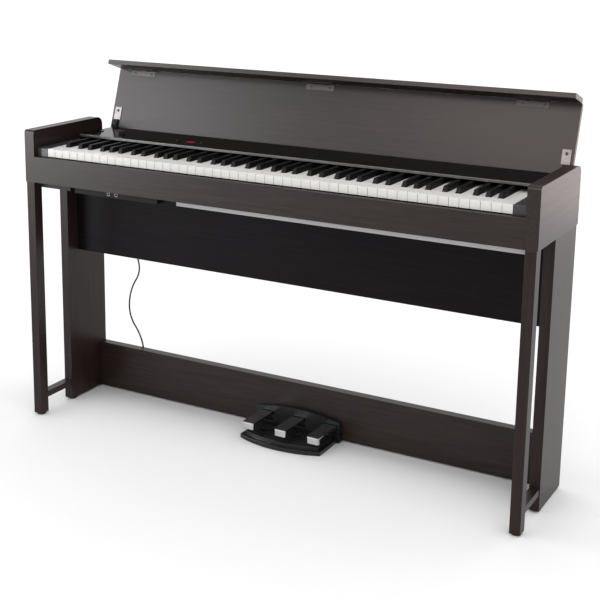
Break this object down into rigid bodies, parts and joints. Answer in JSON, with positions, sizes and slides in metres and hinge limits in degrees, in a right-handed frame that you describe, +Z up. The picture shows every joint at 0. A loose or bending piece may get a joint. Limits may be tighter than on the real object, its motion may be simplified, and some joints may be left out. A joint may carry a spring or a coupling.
{
  "type": "digital piano",
  "caption": "Slim digital piano on a board-sided stand, with hinged keys, a folding lid, sprung controls and a cabled pedal unit.",
  "frame": {"origin": "middle of the footprint of the piano with its lid open, on the floor", "axes": "+X towards the treble end, +Y to the back, +Z up"},
  "size_m": [1.346, 0.3856, 0.9227],
  "materials": {
    "cabinet_wood": "dark brown grained laminate, satin",
    "bed_board": "black painted board",
    "edge_band": "grey edge band",
    "black_plastic": "fine grain",
    "button_black": "satin",
    "panel_black": "polished black",
    "display_black": "smoked red window",
    "trim_strip": "satin strip",
    "key_white": "white key top",
    "key_black": "matt black",
    "felt": "red felt",
    "bright_steel": "plated steel",
    "hinge_steel": "dull bronze-grey plating",
    "dark_steel": "black screw head",
    "pedal_chrome": "plated",
    "pedal_black": "moulded black",
    "cable_rubber": "soft sheath"
  },
  "bodies": {
    "cabinet": {"right_arm": "cabinet_wood", "left_arm": "cabinet_wood", "right_front_leg": "cabinet_wood", "left_front_leg": "cabinet_wood", "right_rear_leg": "cabinet_wood", "left_rear_leg": "cabinet_wood", "right_foot_rail": "cabinet_wood", "left_foot_rail": "cabinet_wood", "modesty_board": "cabinet_wood", "stretcher": "cabinet_wood", "front_rail": "cabinet_wood", "rear_panel": "cabinet_wood", "foot_glides": "black_plastic", "cabinet_screws": "dark_steel", "key_bed": "bed_board", "bed_edge_strip": "edge_band", "jack_box": "black_plastic", "headphone_jacks": "bright_steel", "cheek_blocks": "bed_board", "hinge_housings": "black_plastic", "hinge_pins": "bright_steel", "control_panel": "panel_black", "panel_trim": "trim_strip", "display_window": "display_black", "key_frame": "black_plastic", "key_felt": "felt", "arm_studs": "button_black", "pedal_base": "pedal_black", "pedal_cover": "pedal_black", "pedal_axle": "bright_steel", "pedal_cable": "cable_rubber", "cable_gland": "cable_rubber", "cable_plug": "cable_rubber"},
    "lid": {"lid_panel": "cabinet_wood", "panel_leaves": "hinge_steel", "flap_pins": "hinge_steel", "hinge_screws": "dark_steel", "lid_brackets": "black_plastic", "lid_plates": "bright_steel"},
    "flap": {"lid_flap": "cabinet_wood", "flap_leaves": "hinge_steel"},
    "power_button": {"power_button": "button_black"},
    "sound_button": {"sound_button": "button_black"},
    "function_button": {"function_button": "button_black"},
    "volume_knob": {"volume_knob": "button_black"},
    "pedal_soft": {"pedal_soft": "pedal_chrome"},
    "pedal_sostenuto": {"pedal_sostenuto": "pedal_chrome"},
    "pedal_damper": {"pedal_damper": "pedal_chrome"},
    "keys_c": {"keys_c": "key_white"},
    "keys_c_sharp": {"keys_c_sharp": "key_black"},
    "keys_d": {"keys_d": "key_white"},
    "keys_d_sharp": {"keys_d_sharp": "key_black"},
    "keys_e": {"keys_e": "key_white"},
    "keys_f": {"keys_f": "key_white"},
    "keys_f_sharp": {"keys_f_sharp": "key_black"},
    "keys_g": {"keys_g": "key_white"},
    "keys_g_sharp": {"keys_g_sharp": "key_black"},
    "keys_a": {"keys_a": "key_white"},
    "keys_a_sharp": {"keys_a_sharp": "key_black"},
    "keys_b": {"keys_b": "key_white"}
  },
  "joints": [
    {"name": "lid_hinge", "type": "hinge", "parent": "cabinet", "child": "lid", "pos_m": [0, 0.0822, 0.717], "axis": [1, 0, 0], "range_deg": [0, 108]},
    {"name": "flap_hinge", "type": "hinge", "parent": "lid", "child": "flap", "pos_m": [0, 0.18165, 0.89309], "axis": [1, 0, 0], "range_deg": [-90, 0]},
    {"name": "power_button_press", "type": "slide", "parent": "cabinet", "child": "power_button", "axis": [0, 0, -1], "range_m": [0, 0.0012], "stiffness_N_per_m": 400, "springref_m": -0.003},
    {"name": "sound_button_press", "type": "slide", "parent": "cabinet", "child": "sound_button", "axis": [0, 0, -1], "range_m": [0, 0.0012], "stiffness_N_per_m": 400, "springref_m": -0.003},
    {"name": "function_button_press", "type": "slide", "parent": "cabinet", "child": "function_button", "axis": [0, 0, -1], "range_m": [0, 0.0012], "stiffness_N_per_m": 400, "springref_m": -0.003},
    {"name": "volume_turn", "type": "hinge", "parent": "cabinet", "child": "volume_knob", "pos_m": [-0.524, 0.0212, 0.744], "axis": [0, 0, 1], "range_deg": [-135, 135]},
    {"name": "pedal_soft_press", "type": "hinge", "parent": "cabinet", "child": "pedal_soft", "pos_m": [0, 0.0607, 0.04], "axis": [1, 0, 0], "range_deg": [0, 6], "stiffness_Nm_per_rad": 6, "springref_deg": -17.19},
    {"name": "pedal_sostenuto_press", "type": "hinge", "parent": "cabinet", "child": "pedal_sostenuto", "pos_m": [0, 0.0607, 0.04], "axis": [1, 0, 0], "range_deg": [0, 6], "stiffness_Nm_per_rad": 6, "springref_deg": -17.19},
    {"name": "pedal_damper_press", "type": "hinge", "parent": "cabinet", "child": "pedal_damper", "pos_m": [0, 0.0607, 0.04], "axis": [1, 0, 0], "range_deg": [0, 6], "stiffness_Nm_per_rad": 6, "springref_deg": -17.19},
    {"name": "keys_c_press", "type": "hinge", "parent": "cabinet", "child": "keys_c", "pos_m": [0, 0.0282, 0.7085], "axis": [1, 0, 0], "range_deg": [0, 2.5], "stiffness_Nm_per_rad": 9, "springref_deg": -11.46},
    {"name": "keys_c_sharp_press", "type": "hinge", "parent": "cabinet", "child": "keys_c_sharp", "pos_m": [0, 0.0282, 0.7085], "axis": [1, 0, 0], "range_deg": [0, 2.5], "stiffness_Nm_per_rad": 9, "springref_deg": -11.46},
    {"name": "keys_d_press", "type": "hinge", "parent": "cabinet", "child": "keys_d", "pos_m": [0, 0.0282, 0.7085], "axis": [1, 0, 0], "range_deg": [0, 2.5], "stiffness_Nm_per_rad": 9, "springref_deg": -11.46},
    {"name": "keys_d_sharp_press", "type": "hinge", "parent": "cabinet", "child": "keys_d_sharp", "pos_m": [0, 0.0282, 0.7085], "axis": [1, 0, 0], "range_deg": [0, 2.5], "stiffness_Nm_per_rad": 9, "springref_deg": -11.46},
    {"name": "keys_e_press", "type": "hinge", "parent": "cabinet", "child": "keys_e", "pos_m": [0, 0.0282, 0.7085], "axis": [1, 0, 0], "range_deg": [0, 2.5], "stiffness_Nm_per_rad": 9, "springref_deg": -11.46},
    {"name": "keys_f_press", "type": "hinge", "parent": "cabinet", "child": "keys_f", "pos_m": [0, 0.0282, 0.7085], "axis": [1, 0, 0], "range_deg": [0, 2.5], "stiffness_Nm_per_rad": 9, "springref_deg": -11.46},
    {"name": "keys_f_sharp_press", "type": "hinge", "parent": "cabinet", "child": "keys_f_sharp", "pos_m": [0, 0.0282, 0.7085], "axis": [1, 0, 0], "range_deg": [0, 2.5], "stiffness_Nm_per_rad": 9, "springref_deg": -11.46},
    {"name": "keys_g_press", "type": "hinge", "parent": "cabinet", "child": "keys_g", "pos_m": [0, 0.0282, 0.7085], "axis": [1, 0, 0], "range_deg": [0, 2.5], "stiffness_Nm_per_rad": 9, "springref_deg": -11.46},
    {"name": "keys_g_sharp_press", "type": "hinge", "parent": "cabinet", "child": "keys_g_sharp", "pos_m": [0, 0.0282, 0.7085], "axis": [1, 0, 0], "range_deg": [0, 2.5], "stiffness_Nm_per_rad": 9, "springref_deg": -11.46},
    {"name": "keys_a_press", "type": "hinge", "parent": "cabinet", "child": "keys_a", "pos_m": [0, 0.0282, 0.7085], "axis": [1, 0, 0], "range_deg": [0, 2.5], "stiffness_Nm_per_rad": 9, "springref_deg": -11.46},
    {"name": "keys_a_sharp_press", "type": "hinge", "parent": "cabinet", "child": "keys_a_sharp", "pos_m": [0, 0.0282, 0.7085], "axis": [1, 0, 0], "range_deg": [0, 2.5], "stiffness_Nm_per_rad": 9, "springref_deg": -11.46},
    {"name": "keys_b_press", "type": "hinge", "parent": "cabinet", "child": "keys_b", "pos_m": [0, 0.0282, 0.7085], "axis": [1, 0, 0], "range_deg": [0, 2.5], "stiffness_Nm_per_rad": 9, "springref_deg": -11.46}
  ],
  "couplings": [
    {"joint": "flap_hinge", "follows": "lid_hinge", "ratio": -0.8333}
  ]
}
